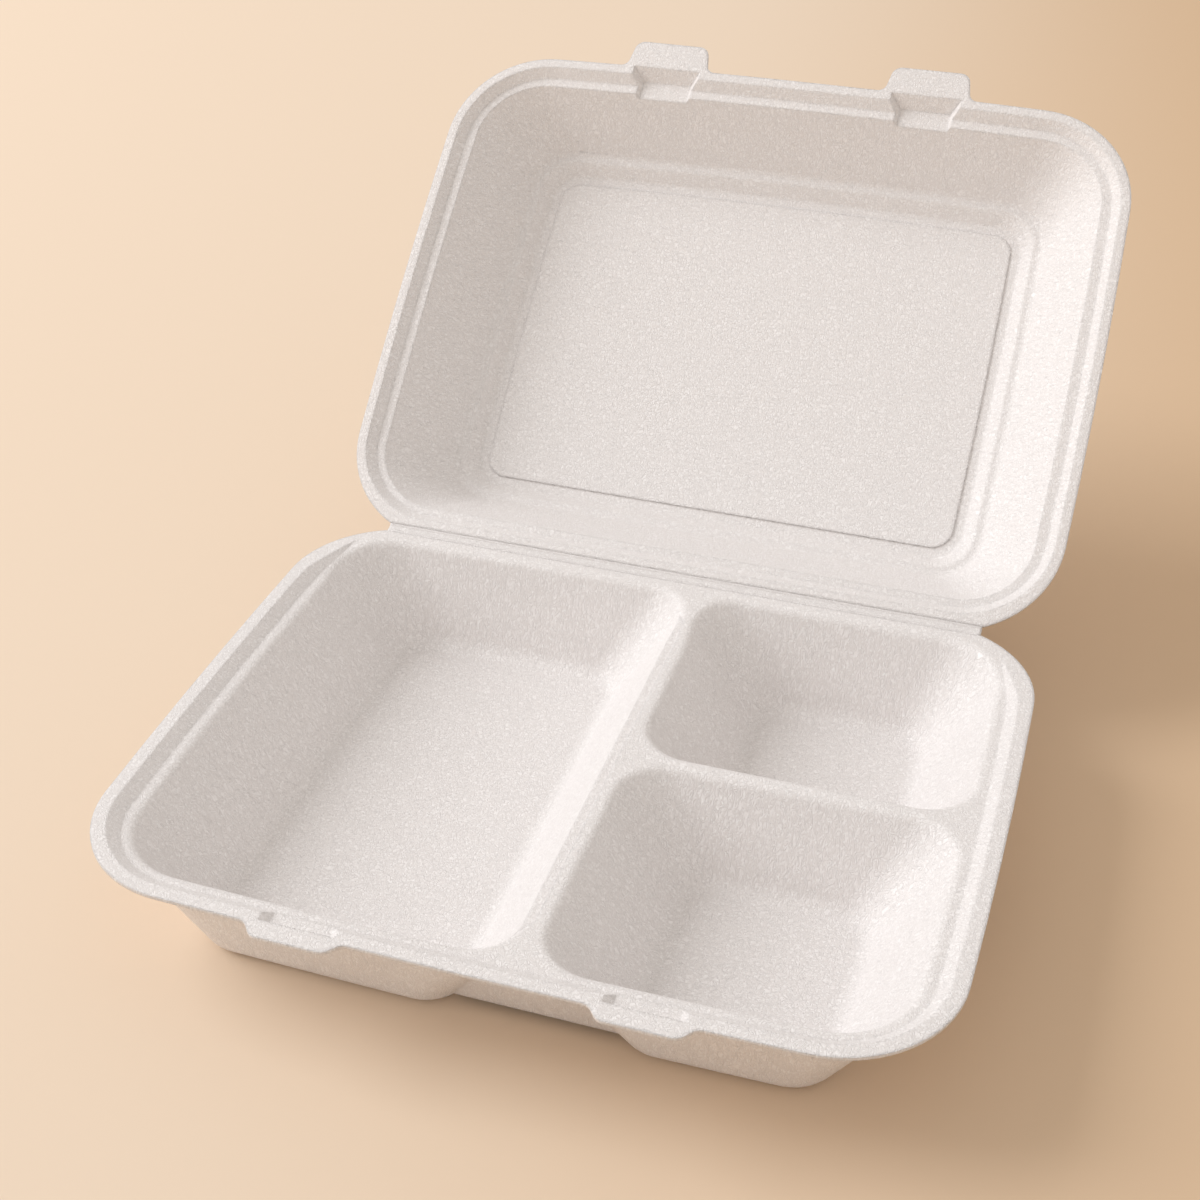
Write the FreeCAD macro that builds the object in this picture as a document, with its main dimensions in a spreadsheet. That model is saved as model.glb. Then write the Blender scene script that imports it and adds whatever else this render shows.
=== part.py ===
import FreeCAD, Part
import math
import os
import Sketcher

# Hinged three-compartment container of moulded polystyrene foam, shown with its lid open.
# Both halves are drawn in the hinge frame: X runs along the hinge, the front edge lies at -Y, and Z = 0 is the
# plane where the closed rims face each other. The tray hangs below that plane. The lid is drawn closed, above it,
# and its placement then swings it open about the hinge line.
os.makedirs("parts", exist_ok=True)
doc = FreeCAD.newDocument("FoamClamshell")

# Driving dimensions, in millimetres and degrees
SIZES = {
    # whole container
    "tray_width": 240,
    "tray_depth": 184,
    "base_height": 35.5,
    "open_angle": 141,
    "closed_gap": 0.3,
    "base_wall": 2.6,
    "lid_wall": 1.8,
    # rim outline
    "corner_radius": 34.3,
    "rear_corner_overrun": 1.4,
    "side_bow": 1.8,
    "front_bow": 2.3,
    "edge_thickness": 1.0,
    "edge_run": 2.4,
    # stepped rim of the tray
    "base_flange": 4.2,
    "base_riser": 3.5,
    "base_step": 2.6,
    "base_land": 3.6,
    "ramp_start": 10,
    "ramp_end": 30,
    "ramp_tip_inset": 13.6,
    "ramp_overlap": 4,
    "ramp_round": 4,
    "ramp_clearance": 1,
    # compartments
    "rear_rim": 6.5,
    "side_draft": 34,
    "end_draft": 16,
    "cross_draft": 21,
    "spine_left": 7.5,
    "spine_right": 13.5,
    "cross_rear": 84,
    "cross_front": 89,
    "outer_corner": 22,
    "inner_corner": 14,
    "floor_corner": 11,
    "floor_fillet": 6,
    "foot_fillet": 5,
    "lip_fillet": 3,
    "ledge_width": 2.2,
    "ledge_drop": 1.2,
    "ledge_fade": 4,
    "web_setback": 5,
    "web_lift": 2.5,
    "web_reach": 22,
    # stepped rim of the lid
    "lid_flange": 3.2,
    "lid_riser": 2.9,
    "lid_step": 3,
    "lid_land": 3.2,
    "lid_rear_flange": 4.6,
    "lid_rear_land": 2.4,
    # lid wall and panel
    "lid_side_draft": 40,
    "lid_end_draft": 32.5,
    "lid_ledge_depth": 25,
    "lid_ledge": 2.6,
    "lid_ring_run": 4.1,
    "lid_ring_drop": 4,
    "lid_moat": 3.3,
    "lid_panel_rise": 0.5,
    "lid_ledge_corner": 14,
    "lid_panel_corner": 7,
    "lid_ledge_fillet": 2.5,
    "lid_edge_fillet": 1.2,
    # latches
    "latch_offset": 46,
    "lug_root": 30,
    "lug_tip": 24,
    "lug_reach": 4,
    "tab_root": 30,
    "tab_tip": 27,
    "tab_reach": 9.5,
    "tip_radius": 3.6,
    "root_radius": 3,
    "slot_length": 21.4,
    "slot_width": 5.8,
    "slot_depth": 1.9,
    "slot_margin": 2,
    "slot_flare": 2.2,
    "slot_wall": 1.0,
    "pocket_length": 24,
    "pocket_width": 11,
    "pocket_depth": 4.5,
    "pocket_flare": 3.4,
    # hinge strip
    "hinge_half_span": 1.8,
    "hinge_length": 198,
    "hinge_thickness": 0.9,
    "hinge_recess": 0.15,
}

sheet = doc.addObject("Spreadsheet::Sheet", "Sizes")
for row, (alias, value) in enumerate(SIZES.items(), start=1):
    sheet.set(f"A{row}", alias)
    sheet.set(f"B{row}", str(value))
    sheet.setAlias(f"B{row}", alias)
doc.recompute()

# Radii of the bowed rim edges, from their chord and rise
FRONT_RADIUS = "((Sizes.tray_width / 2) ^ 2 + Sizes.front_bow ^ 2) / (2 * Sizes.front_bow)"
SIDE_RADIUS = "((Sizes.tray_depth / 2) ^ 2 + Sizes.side_bow ^ 2) / (2 * Sizes.side_bow)"


def value_of(expression):
    return float(sheet.evalExpression(expression))


def origin_plane(body, role):
    return next(f for f in body.Origin.OriginFeatures if f.Role == role)


def new_body(name):
    body = doc.addObject("PartDesign::Body", name)
    body.Label = name
    return body


def sketch_on(body, name, role, level):
    """Sketch on one of the body's own planes, moved along that plane's normal by an expression."""
    sketch = body.newObject("Sketcher::SketchObject", name)
    sketch.AttachmentSupport = [(origin_plane(body, role), "")]
    sketch.MapMode = "FlatFace"
    sketch.setExpression("AttachmentOffset.Base.z", level)
    return sketch


def bind(sketch, constraint, name, expression):
    """Add a dimension, name it and tie it to the sizes."""
    index = sketch.addConstraint(constraint)
    sketch.renameConstraint(index, name)
    sketch.setExpression(f"Constraints.{name}", expression)


def outline(body, name, level, sides, corners):
    """Closed outline of four sides joined by tangent corner arcs.

    A side is ("line", place) for a straight edge at that coordinate, or ("rim", inset) for an arc concentric with
    the bowed edge of the rim, that far inside it. corners gives the four radii by name.
    """
    sketch = sketch_on(body, name, "XY_Plane", level)
    half_width = value_of("Sizes.tray_width / 2")
    depth = value_of("Sizes.tray_depth")
    front_radius = value_of(FRONT_RADIUS)
    side_radius = value_of(SIDE_RADIUS)
    place = {}
    for key, (kind, expression) in sides.items():
        number = value_of(expression)
        rim = {"front": number - depth, "right": half_width - number, "left": number - half_width}
        place[key] = number if kind == "line" else rim[key]
    radius = {key: value_of(expression) for key, expression in corners.items()}
    centre = {
        "front_right": (place["right"] - radius["front_right"], place["front"] + radius["front_right"]),
        "rear_right": (place["right"] - radius["rear_right"], place["rear"] - radius["rear_right"]),
        "rear_left": (place["left"] + radius["rear_left"], place["rear"] - radius["rear_left"]),
        "front_left": (place["left"] + radius["front_left"], place["front"] + radius["front_left"]),
    }
    up = FreeCAD.Vector(0, 0, 1)

    def arc(x, y, r, start, end):
        return Part.ArcOfCircle(Part.Circle(FreeCAD.Vector(x, y, 0), up, r), start, end)

    def side(key, start, end):
        """The side from one corner's end to the next one's start, as a line or a wide arc."""
        if sides[key][0] == "line":
            return Part.LineSegment(FreeCAD.Vector(*start, 0), FreeCAD.Vector(*end, 0))
        wide = {
            "front": (0, front_radius - depth, front_radius),
            "right": (half_width - side_radius, -depth / 2, side_radius),
            "left": (side_radius - half_width, -depth / 2, side_radius),
        }[key]
        x, y, r = wide[0], wide[1], wide[2] - value_of(sides[key][1])
        first = math.atan2(start[1] - y, start[0] - x)
        last = math.atan2(end[1] - y, end[0] - x)
        if last < first:
            last += 2 * math.pi
        return arc(x, y, r, first, last)

    def corner(key, start_angle):
        x, y = centre[key]
        return arc(x, y, radius[key], start_angle, start_angle + math.pi / 2)

    fr, rr, rl, fl = (centre[k] for k in ("front_right", "rear_right", "rear_left", "front_left"))
    geometry = [
        side("front", (fl[0], place["front"]), (fr[0], place["front"])),
        corner("front_right", -math.pi / 2),
        side("right", (place["right"], fr[1]), (place["right"], rr[1])),
        corner("rear_right", 0),
        side("rear", (rr[0], place["rear"]), (rl[0], place["rear"])),
        corner("rear_left", math.pi / 2),
        side("left", (place["left"], rl[1]), (place["left"], fl[1])),
        corner("front_left", math.pi),
    ]
    sketch.addGeometry(geometry, False)
    count = len(geometry)
    for index in range(count):
        sketch.addConstraint(Sketcher.Constraint("Tangent", index, 2, (index + 1) % count, 1))
    for index, key in ((1, "front_right"), (3, "rear_right"), (5, "rear_left"), (7, "front_left")):
        bind(sketch, Sketcher.Constraint("Radius", index, radius[key]), f"{key}_radius", corners[key])
    rim_centre = {
        "front": ("0", f"{FRONT_RADIUS} - Sizes.tray_depth", FRONT_RADIUS),
        "right": (f"Sizes.tray_width / 2 - {SIDE_RADIUS}", "-Sizes.tray_depth / 2", SIDE_RADIUS),
        "left": (f"{SIDE_RADIUS} - Sizes.tray_width / 2", "-Sizes.tray_depth / 2", SIDE_RADIUS),
    }
    for index, key in ((0, "front"), (2, "right"), (4, "rear"), (6, "left")):
        kind, expression = sides[key]
        if kind == "rim":
            x, y, r = rim_centre[key]
            if key == "front":
                sketch.addConstraint(Sketcher.Constraint("PointOnObject", index, 3, -2))
            else:
                bind(sketch, Sketcher.Constraint("DistanceX", -1, 1, index, 3, value_of(x)), f"{key}_centre_x", x)
            bind(sketch, Sketcher.Constraint("DistanceY", -1, 1, index, 3, value_of(y)), f"{key}_centre_y", y)
            r = f"{r} - ({expression})"
            bind(sketch, Sketcher.Constraint("Radius", index, value_of(r)), f"{key}_bow_radius", r)
        elif key in ("front", "rear"):
            sketch.addConstraint(Sketcher.Constraint("Horizontal", index))
            bind(sketch, Sketcher.Constraint("DistanceY", -1, 1, index, 1, place[key]), f"{key}_place", expression)
        else:
            sketch.addConstraint(Sketcher.Constraint("Vertical", index))
            bind(sketch, Sketcher.Constraint("DistanceX", -1, 1, index, 1, place[key]), f"{key}_place", expression)
    return sketch


def same_corners(radius):
    return {key: radius for key in ("front_right", "rear_right", "rear_left", "front_left")}


def polygon(body, name, role, level, points):
    """Closed polygon whose corners are given as pairs of expressions."""
    sketch = sketch_on(body, name, role, level)
    places = [(value_of(x), value_of(y)) for x, y in points]
    count = len(points)
    for index in range(count):
        start = FreeCAD.Vector(*places[index], 0)
        end = FreeCAD.Vector(*places[(index + 1) % count], 0)
        sketch.addGeometry(Part.LineSegment(start, end), False)
    for index in range(count):
        sketch.addConstraint(Sketcher.Constraint("Coincident", index, 2, (index + 1) % count, 1))
    for index, ((x, y), (px, py)) in enumerate(zip(points, places)):
        bind(sketch, Sketcher.Constraint("DistanceX", -1, 1, index, 1, px), f"x{index}", x)
        bind(sketch, Sketcher.Constraint("DistanceY", -1, 1, index, 1, py), f"y{index}", y)
    return sketch


def loft(body, name, profiles, cut=False, ruled=True):
    kind = "PartDesign::SubtractiveLoft" if cut else "PartDesign::AdditiveLoft"
    feature = body.newObject(kind, name)
    feature.Profile = profiles[0]
    feature.Sections = profiles[1:]
    feature.Ruled = ruled
    return feature


def edges_on(shape, sketches, reach=0.02):
    """Names of the edges whose middle lies on one of the sketched outlines."""
    names = []
    for number, edge in enumerate(shape.Edges, start=1):
        middle = Part.Vertex(edge.valueAt((edge.FirstParameter + edge.LastParameter) / 2))
        if any(middle.distToShape(sketch.Shape)[0] < reach for sketch in sketches):
            names.append(f"Edge{number}")
    return names


def fillet(body, name, base, radius, choose):
    """Round the edges of the last feature that choose picks from its shape."""
    doc.recompute()
    feature = body.newObject("PartDesign::Fillet", name)
    feature.Base = (base, choose(base.Shape))
    feature.setExpression("Radius", radius)
    return feature


# Tray
RIM_FACE = "-Sizes.closed_gap / 2"
RIM_WIDTH = "(Sizes.base_flange + Sizes.base_riser + Sizes.base_land)"
FLOOR_DEPTH = "(Sizes.base_height - Sizes.base_wall)"
SIDE_SLOPE = "tan(Sizes.side_draft * 1 deg)"
END_SLOPE = "tan(Sizes.end_draft * 1 deg)"
CROSS_SLOPE = "tan(Sizes.cross_draft * 1 deg)"


def below(depth):
    """Level that lies a depth below the tray's rim face."""
    return f"{RIM_FACE} - ({depth})"


def wall_shift(slope, depth, wall):
    """How far a sloping wall has moved inwards at a depth below the land, less its own thickness across."""
    return f"({slope} * ({depth} - Sizes.base_step) - {wall} * sqrt(1 + {slope} ^ 2))"


def compartment_sides(walls, depth, wall):
    """The four sides of a compartment at a depth: its inner face for wall 0, or its outer face for the sheet."""
    sides = {}
    for key, (kind, place, slope, inward) in walls.items():
        shift = wall_shift(slope, depth, wall)
        if key == "rear" and kind == "hinge":
            shift = f"({slope} * {depth} - {wall} * sqrt(1 + {slope} ^ 2))"
            sides[key] = ("line", f"-({place} + {shift})")
        elif kind == "rim":
            sides[key] = ("rim", f"{place} + {shift}")
        else:
            sides[key] = ("line", f"{place} + ({inward}) * {shift}")
    return sides


OUTER = ("rim", RIM_WIDTH, SIDE_SLOPE, "1")
FRONT = ("rim", RIM_WIDTH, END_SLOPE, "1")
REAR = ("hinge", "Sizes.rear_rim", END_SLOPE, "-1")
SPINE_RIGHT = ("line", "Sizes.spine_right", SIDE_SLOPE, "1")
COMPARTMENTS = {
    "large": {
        "walls": {"left": OUTER, "front": FRONT, "rear": REAR, "right": ("line", "Sizes.spine_left", SIDE_SLOPE, "-1")},
        "corners": ("outer_corner", "outer_corner", "inner_corner", "inner_corner"),
    },
    "rear": {
        "walls": {
            "left": SPINE_RIGHT,
            "right": OUTER,
            "rear": REAR,
            "front": ("line", "-Sizes.cross_rear", CROSS_SLOPE, "1"),
        },
        "corners": ("inner_corner", "inner_corner", "inner_corner", "outer_corner"),
    },
    "front": {
        "walls": {
            "left": SPINE_RIGHT,
            "right": OUTER,
            "rear": ("line", "-Sizes.cross_front", CROSS_SLOPE, "-1"),
            "front": FRONT,
        },
        "corners": ("inner_corner", "inner_corner", "outer_corner", "inner_corner"),
    },
}
CORNER_ORDER = ("rear_left", "front_left", "front_right", "rear_right")


def build_tray():
    body = new_body("base_tray")
    place_at_hinge(body)

    def rim(inset):
        sides = {key: ("rim", inset) for key in ("front", "left", "right")}
        sides["rear"] = ("line", f"Sizes.rear_corner_overrun - ({inset})")
        return sides

    flange = body.newObject("PartDesign::Pad", "Flange")
    flange.Profile = outline(body, "RimOutline", RIM_FACE, rim("0"), same_corners("Sizes.corner_radius"))
    flange.setExpression("Length", "Sizes.edge_thickness")
    flange.Reversed = True

    for number, sign in enumerate((-1, 1)):
        x = f"{sign} * Sizes.latch_offset"
        lug = body.newObject("PartDesign::Pad", f"Lug{number}")
        lug.Profile = latch_outline(body, f"LugOutline{number}", RIM_FACE, x, "lug")
        lug.setExpression("Length", "Sizes.edge_thickness")
        lug.Reversed = True
    fillet(body, "LugRootRounds", lug, "Sizes.root_radius", latch_roots)
    loft(body, "FlangeUnderside", [
        outline(body, "FlangeUndersideEdge", below("Sizes.edge_thickness / 2"), rim("0"),
                same_corners("Sizes.corner_radius")),
        outline(body, "FlangeUndersideStep", below("Sizes.base_wall"), rim("Sizes.edge_run"),
                same_corners("Sizes.corner_radius - Sizes.edge_run")),
    ])

    for number, sign in enumerate((-1, 1)):
        slot_loft(body, f"SlotUnderside{number}", f"{sign} * Sizes.latch_offset", "Sizes.slot_wall", cut=False)

    # Underside of the step: the riser and the land, one sheet thickness below their upper faces
    slope = "(Sizes.base_step / Sizes.base_riser)"
    back = f"(Sizes.base_wall * (sqrt(1 + {slope} ^ 2) - 1) / {slope})"
    step_well(body, "StepUnderside", "Sizes.base_wall", f"(Sizes.base_flange - {back})", cut=False)

    feet = []
    for name, spec in COMPARTMENTS.items():
        profiles = []
        for end, depth, corners in (
            ("Top", "Sizes.base_wall / 2", spec["corners"]),
            ("Bottom", "Sizes.base_height", ["floor_corner"] * 4),
        ):
            sides = compartment_sides(spec["walls"], depth, "Sizes.base_wall")
            radii = {key: f"Sizes.{corner} + Sizes.base_wall" for key, corner in zip(CORNER_ORDER, corners)}
            profiles.append(outline(body, f"{name.title()}Pod{end}", below(depth), sides, radii))
        pod = loft(body, f"{name.title()}Pod", profiles)
        feet.append(profiles[-1])
    fillet(body, "FootRounds", pod, "Sizes.foot_fillet", lambda shape: edges_on(shape, feet))

    # Web that closes the front end of the channel under the divider
    face = f"(Sizes.tray_depth - {RIM_WIDTH} - Sizes.web_setback + Sizes.base_wall)"
    drop = "(Sizes.base_height - Sizes.web_lift)"
    top = "Sizes.base_wall"
    profile = [
        (f"-({face})", below(top)),
        (f"-({face} - {END_SLOPE} * ({drop} - {top}))", below(drop)),
        (f"-({face} - {END_SLOPE} * ({drop} - {top}) - Sizes.base_wall)", below(drop)),
        (f"-({face} - Sizes.base_wall)", below(top)),
    ]
    middle = "(Sizes.spine_left + Sizes.spine_right) / 2"
    web = body.newObject("PartDesign::Pad", "Web")
    web.Profile = polygon(body, "WebProfile", "YZ_Plane", middle, profile)
    web.setExpression("Length", "2 * Sizes.web_reach + Sizes.spine_right - Sizes.spine_left")
    web.Midplane = True

    step_well(body, "StepWell", "0", "Sizes.base_flange", cut=True)

    floors = []
    hollows = []
    for name, spec in COMPARTMENTS.items():
        profiles = []
        for end, depth, corners in (
            ("Mouth", "0", spec["corners"]),
            ("Floor", FLOOR_DEPTH, ["floor_corner"] * 4),
        ):
            sides = compartment_sides(spec["walls"], depth, "0")
            radii = {key: f"Sizes.{corner}" for key, corner in zip(CORNER_ORDER, corners)}
            profiles.append(outline(body, f"{name.title()}{end}", below(depth), sides, radii))
        hollows.append(loft(body, f"{name.title()}Compartment", profiles, cut=True))
        floors.append(profiles[-1])
    rounds = fillet(body, "FloorRounds", hollows[-1], "Sizes.floor_fillet", lambda shape: edges_on(shape, floors))
    for hollow in hollows:
        rounds = fillet(body, f"{hollow.Name}Lip", rounds, "Sizes.lip_fillet", lambda shape: lip(shape, hollow))

    divider_ledge(body)
    for number, sign in enumerate((-1, 1)):
        slot_loft(body, f"Slot{number}", f"{sign} * Sizes.latch_offset", "0", cut=True)

    hinge_trim(body, "HingeTrim", RIM_FACE, "2 * Sizes.base_wall + Sizes.base_step")
    doc.recompute()
    return body


def lip(shape, hollow):
    """Edges where one compartment's walls meet the land, the ramp and the rear rim.

    They run round in a closed chain, and the first one named is where the round begins. It's one from which the
    whole chain can be rounded.
    """
    walls = Part.Compound(hollow.AddSubShape.Faces)
    lowest = value_of(below("Sizes.base_step")) - 0.1
    chain = []
    for number, edge in enumerate(shape.Edges, start=1):
        span = edge.LastParameter - edge.FirstParameter
        points = [edge.valueAt(edge.FirstParameter + share * span) for share in (0.1, 0.5, 0.9)]
        if all(point.z > lowest and Part.Vertex(point).distToShape(walls)[0] < 0.02 for point in points):
            chain.append(f"Edge{number}")
    for start in range(len(chain)):
        order = chain[start:] + chain[:start]
        try:
            rounded = shape.makeFillet(value_of("Sizes.lip_fillet"), [shape.getElement(name) for name in order])
        except Part.OCCError:
            continue
        if rounded.isValid():
            return order
    return chain


def latch_roots(shape):
    """Upright edges where the latches leave the front edge."""
    depth = value_of("Sizes.tray_depth")
    corner = value_of("Sizes.corner_radius")
    half_width = value_of("Sizes.tray_width / 2")
    names = []
    for number, edge in enumerate(shape.Edges, start=1):
        box = edge.BoundBox
        upright = box.XLength < 1e-3 and box.YLength < 1e-3
        on_front = -depth - 0.1 < box.YMin < -depth + 1 and abs(box.XMin) < half_width - corner
        if upright and on_front:
            names.append(f"Edge{number}")
    return names


def divider_ledge(body):
    """Narrow ledge along the divider's left edge, level with the land and then with the ramp."""
    slope = "(Sizes.base_step / (Sizes.ramp_end - Sizes.ramp_start))"
    wide = "(Sizes.spine_left + Sizes.ledge_width)"
    faded = "(Sizes.spine_left - Sizes.ledge_fade)"
    inner = "(Sizes.spine_left - 2 * Sizes.inner_corner)"
    fade = "(Sizes.inner_corner - Sizes.ledge_fade - 1)"
    front = f"(Sizes.tray_depth - {RIM_WIDTH} - Sizes.inner_corner)"
    rear = "(Sizes.rear_rim + Sizes.inner_corner)"
    sections = []
    for number, (at, right, depth) in enumerate((
        (f"({front} + {fade})", faded, "Sizes.base_step"),
        (front, wide, "Sizes.base_step"),
        ("Sizes.ramp_end", wide, "Sizes.base_step"),
        (rear, wide, f"({slope} * ({rear} - Sizes.ramp_start))"),
        (f"({rear} - {fade})", faded, f"({slope} * ({rear} - {fade} - Sizes.ramp_start))"),
    )):
        top = below("-Sizes.ramp_clearance")
        bottom = below(f"{depth} + Sizes.ledge_drop")
        sections.append(polygon(body, f"Ledge{number}", "XZ_Plane", at, [
            (inner, top),
            (inner, bottom),
            (right, bottom),
            (right, top),
        ]))
    loft(body, "DividerLedge", sections, cut=True)


def slot_loft(body, name, x, wall, cut):
    """A latch slot with sloping ends, or the lump of the sheet's underside that follows it."""
    front = f"(Sizes.tray_depth - Sizes.slot_margin + {wall})"
    shrink = "Sizes.slot_flare / 3"
    loft(body, name, [
        rectangle(body, f"{name}Mouth", RIM_FACE, x, f"(Sizes.slot_length + 2 * {wall})", front,
                  f"(Sizes.slot_width + {wall})"),
        rectangle(body, f"{name}Floor", below(f"Sizes.slot_depth + {wall}"), x,
                  f"(Sizes.slot_length - 2 * Sizes.slot_flare + 2 * {wall})", f"({front} - {shrink})",
                  f"(Sizes.slot_width - {shrink} + {wall})"),
    ], cut)


def rectangle(body, name, level, x, length, front, width):
    """Rectangle centred on x whose front edge lies at -front."""
    return polygon(body, name, "XY_Plane", level, [
        (f"{x} - ({length}) / 2", f"-({front})"),
        (f"{x} + ({length}) / 2", f"-({front})"),
        (f"{x} + ({length}) / 2", f"-({front}) + {width}"),
        (f"{x} - ({length}) / 2", f"-({front}) + {width}"),
    ])


def step_well(body, name, drop, inset, cut):
    """The tray's step: a well inside the flange, whose floor climbs back to the flange towards the hinge."""
    bottom_inset = f"({inset} + Sizes.base_riser)"

    def rims(at):
        sides = {key: ("rim", at) for key in ("front", "left", "right")}
        sides["rear"] = ("line", "-(Sizes.ramp_end + Sizes.ramp_round)")
        return sides

    def corners(at):
        front = f"Sizes.corner_radius - {at}"
        rear = "Sizes.tip_radius"
        return {"front_right": front, "front_left": front, "rear_right": rear, "rear_left": rear}

    floor = f"{drop} + Sizes.base_step"
    loft(body, name, [
        outline(body, f"{name}Top", below(drop), rims(inset), corners(inset)),
        outline(body, f"{name}Bottom", below(floor), rims(bottom_inset), corners(bottom_inset)),
    ], cut)

    side = f"(Sizes.tray_width / 2 - Sizes.side_bow / 2 - {inset})"
    lean = "(Sizes.base_riser / Sizes.base_step)"
    tip = f"(Sizes.tray_width / 2 - Sizes.ramp_tip_inset + Sizes.base_flange - {inset})"
    lean_in = f"(({side} - {tip}) / (Sizes.ramp_end - Sizes.ramp_start))"
    climb = "(Sizes.base_step / (Sizes.ramp_end - Sizes.ramp_start))"
    sections = []
    for number, (at, share) in enumerate((
        ("Sizes.ramp_end + Sizes.ramp_round + Sizes.ramp_overlap", "0"),
        ("Sizes.ramp_end + Sizes.ramp_round", "0"),
        ("Sizes.ramp_end", "Sizes.ramp_round / 4"),
        ("Sizes.ramp_end - Sizes.ramp_round", "Sizes.ramp_round"),
        ("Sizes.ramp_start - Sizes.ramp_overlap",
         "(Sizes.ramp_end - Sizes.ramp_start + Sizes.ramp_overlap)"),
    )):
        half = f"({side} - {lean_in} * {share})"
        depth = f"(Sizes.base_step - {climb} * {share})"
        top = below(f"{drop} - Sizes.ramp_clearance")
        bottom = below(f"{drop} + {depth}")
        wide = f"({half} + {lean} * Sizes.ramp_clearance)"
        narrow = f"({half} - {lean} * {depth})"
        sections.append(polygon(body, f"{name}Ramp{number}", "XZ_Plane", at, [
            (f"-{wide}", top),
            (f"-{narrow}", bottom),
            (narrow, bottom),
            (wide, top),
        ]))
    loft(body, f"{name}Ramp", sections, cut)


def latch_outline(body, name, level, x, kind):
    """Trapezoid that reaches past the front edge, with rounded tip corners."""
    sketch = sketch_on(body, name, "XY_Plane", level)
    root = f"Sizes.{kind}_root / 2"
    tip = f"Sizes.{kind}_tip / 2"
    base = "-(Sizes.tray_depth - Sizes.base_flange / 2)"
    reach = f"-(Sizes.tray_depth + Sizes.{kind}_reach)"
    cx, rx, tx = value_of(x), value_of(root), value_of(tip)
    y0, y1, r = value_of(base), value_of(reach), value_of("Sizes.tip_radius")
    vector = FreeCAD.Vector
    up = vector(0, 0, 1)
    sketch.addGeometry([
        Part.LineSegment(vector(cx + rx, y0, 0), vector(cx - rx, y0, 0)),
        Part.LineSegment(vector(cx - rx, y0, 0), vector(cx - tx, y1 + r, 0)),
        Part.ArcOfCircle(Part.Circle(vector(cx - tx + r, y1 + r, 0), up, r), math.pi, 1.5 * math.pi),
        Part.LineSegment(vector(cx - tx + r, y1, 0), vector(cx + tx - r, y1, 0)),
        Part.ArcOfCircle(Part.Circle(vector(cx + tx - r, y1 + r, 0), up, r), 1.5 * math.pi, 2 * math.pi),
        Part.LineSegment(vector(cx + tx, y1 + r, 0), vector(cx + rx, y0, 0)),
    ], False)
    add = sketch.addConstraint
    add(Sketcher.Constraint("Coincident", 5, 2, 0, 1))
    add(Sketcher.Constraint("Coincident", 0, 2, 1, 1))
    for first, second in ((1, 2), (2, 3), (3, 4), (4, 5)):
        add(Sketcher.Constraint("Tangent", first, 2, second, 1))
    add(Sketcher.Constraint("Horizontal", 0))
    add(Sketcher.Constraint("Horizontal", 3))
    bind(sketch, Sketcher.Constraint("DistanceX", -1, 1, 0, 2, cx - rx), "root_left", f"{x} - {root}")
    bind(sketch, Sketcher.Constraint("DistanceX", -1, 1, 0, 1, cx + rx), "root_right", f"{x} + {root}")
    bind(sketch, Sketcher.Constraint("DistanceY", -1, 1, 0, 1, y0), "root_y", base)
    bind(sketch, Sketcher.Constraint("DistanceY", -1, 1, 3, 1, y1), "tip_y", reach)
    bind(sketch, Sketcher.Constraint("DistanceX", -1, 1, 2, 3, cx - tx + r), "tip_left",
         f"{x} - {tip} + Sizes.tip_radius")
    bind(sketch, Sketcher.Constraint("DistanceX", -1, 1, 4, 3, cx + tx - r), "tip_right",
         f"{x} + {tip} - Sizes.tip_radius")
    bind(sketch, Sketcher.Constraint("Radius", 2, r), "tip_radius_left", "Sizes.tip_radius")
    bind(sketch, Sketcher.Constraint("Radius", 4, r), "tip_radius_right", "Sizes.tip_radius")
    return sketch


# Lid
LID_FACE = "Sizes.closed_gap / 2"
LID_RIM = "(Sizes.lid_flange + Sizes.lid_riser + Sizes.lid_land)"
LID_REAR = "(Sizes.lid_rear_flange + Sizes.lid_riser + Sizes.lid_rear_land)"
LID_SIDE_SLOPE = "tan(Sizes.lid_side_draft * 1 deg)"
LID_END_SLOPE = "tan(Sizes.lid_end_draft * 1 deg)"
LID_STEP_SLOPE = "(Sizes.lid_riser / Sizes.lid_step)"
RING_SLOPE = "(Sizes.lid_ring_run / Sizes.lid_ring_drop)"
PANEL_DEPTH = "(Sizes.lid_ledge_depth + Sizes.lid_ring_drop)"


def above(depth):
    """Level that lies a depth above the closed lid's rim face, into the lid."""
    return f"{LID_FACE} + ({depth})"


def lid_outline(body, name, depth, side, end, rear, front_corner, rear_corner):
    """Outline of the lid at a depth, with its insets from the rim's sides and front and from the hinge line."""
    sides = {"left": ("rim", side), "right": ("rim", side), "front": ("rim", end), "rear": ("line", f"-({rear})")}
    corners = {
        "front_left": front_corner,
        "front_right": front_corner,
        "rear_left": rear_corner,
        "rear_right": rear_corner,
    }
    return outline(body, name, above(depth), sides, corners)


def sloped(start, slope, rise, wall):
    """Inset of a sloping face that starts at an inset and moves in as it rises, seen a wall's thickness outside."""
    return f"({start} + {slope} * ({rise}) - {wall} * sqrt(1 + {slope} ^ 2))"


def lid_step_loft(body, name, wall, cut):
    """The lid's step, from the flange's inner edge to the land."""
    profiles = []
    for end, rise in (("Foot", "0"), ("Top", "Sizes.lid_step")):
        depth = f"{rise} + {wall}"
        side = sloped("Sizes.lid_flange", LID_STEP_SLOPE, depth, wall)
        rear = sloped("Sizes.lid_rear_flange", LID_STEP_SLOPE, depth, wall)
        rear_corner = f"Sizes.corner_radius - Sizes.rear_corner_overrun - {rear}"
        profiles.append(lid_outline(body, name + end, depth, side, side, rear, f"Sizes.corner_radius - {side}",
                                    rear_corner))
    return loft(body, name, profiles, cut)


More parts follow.
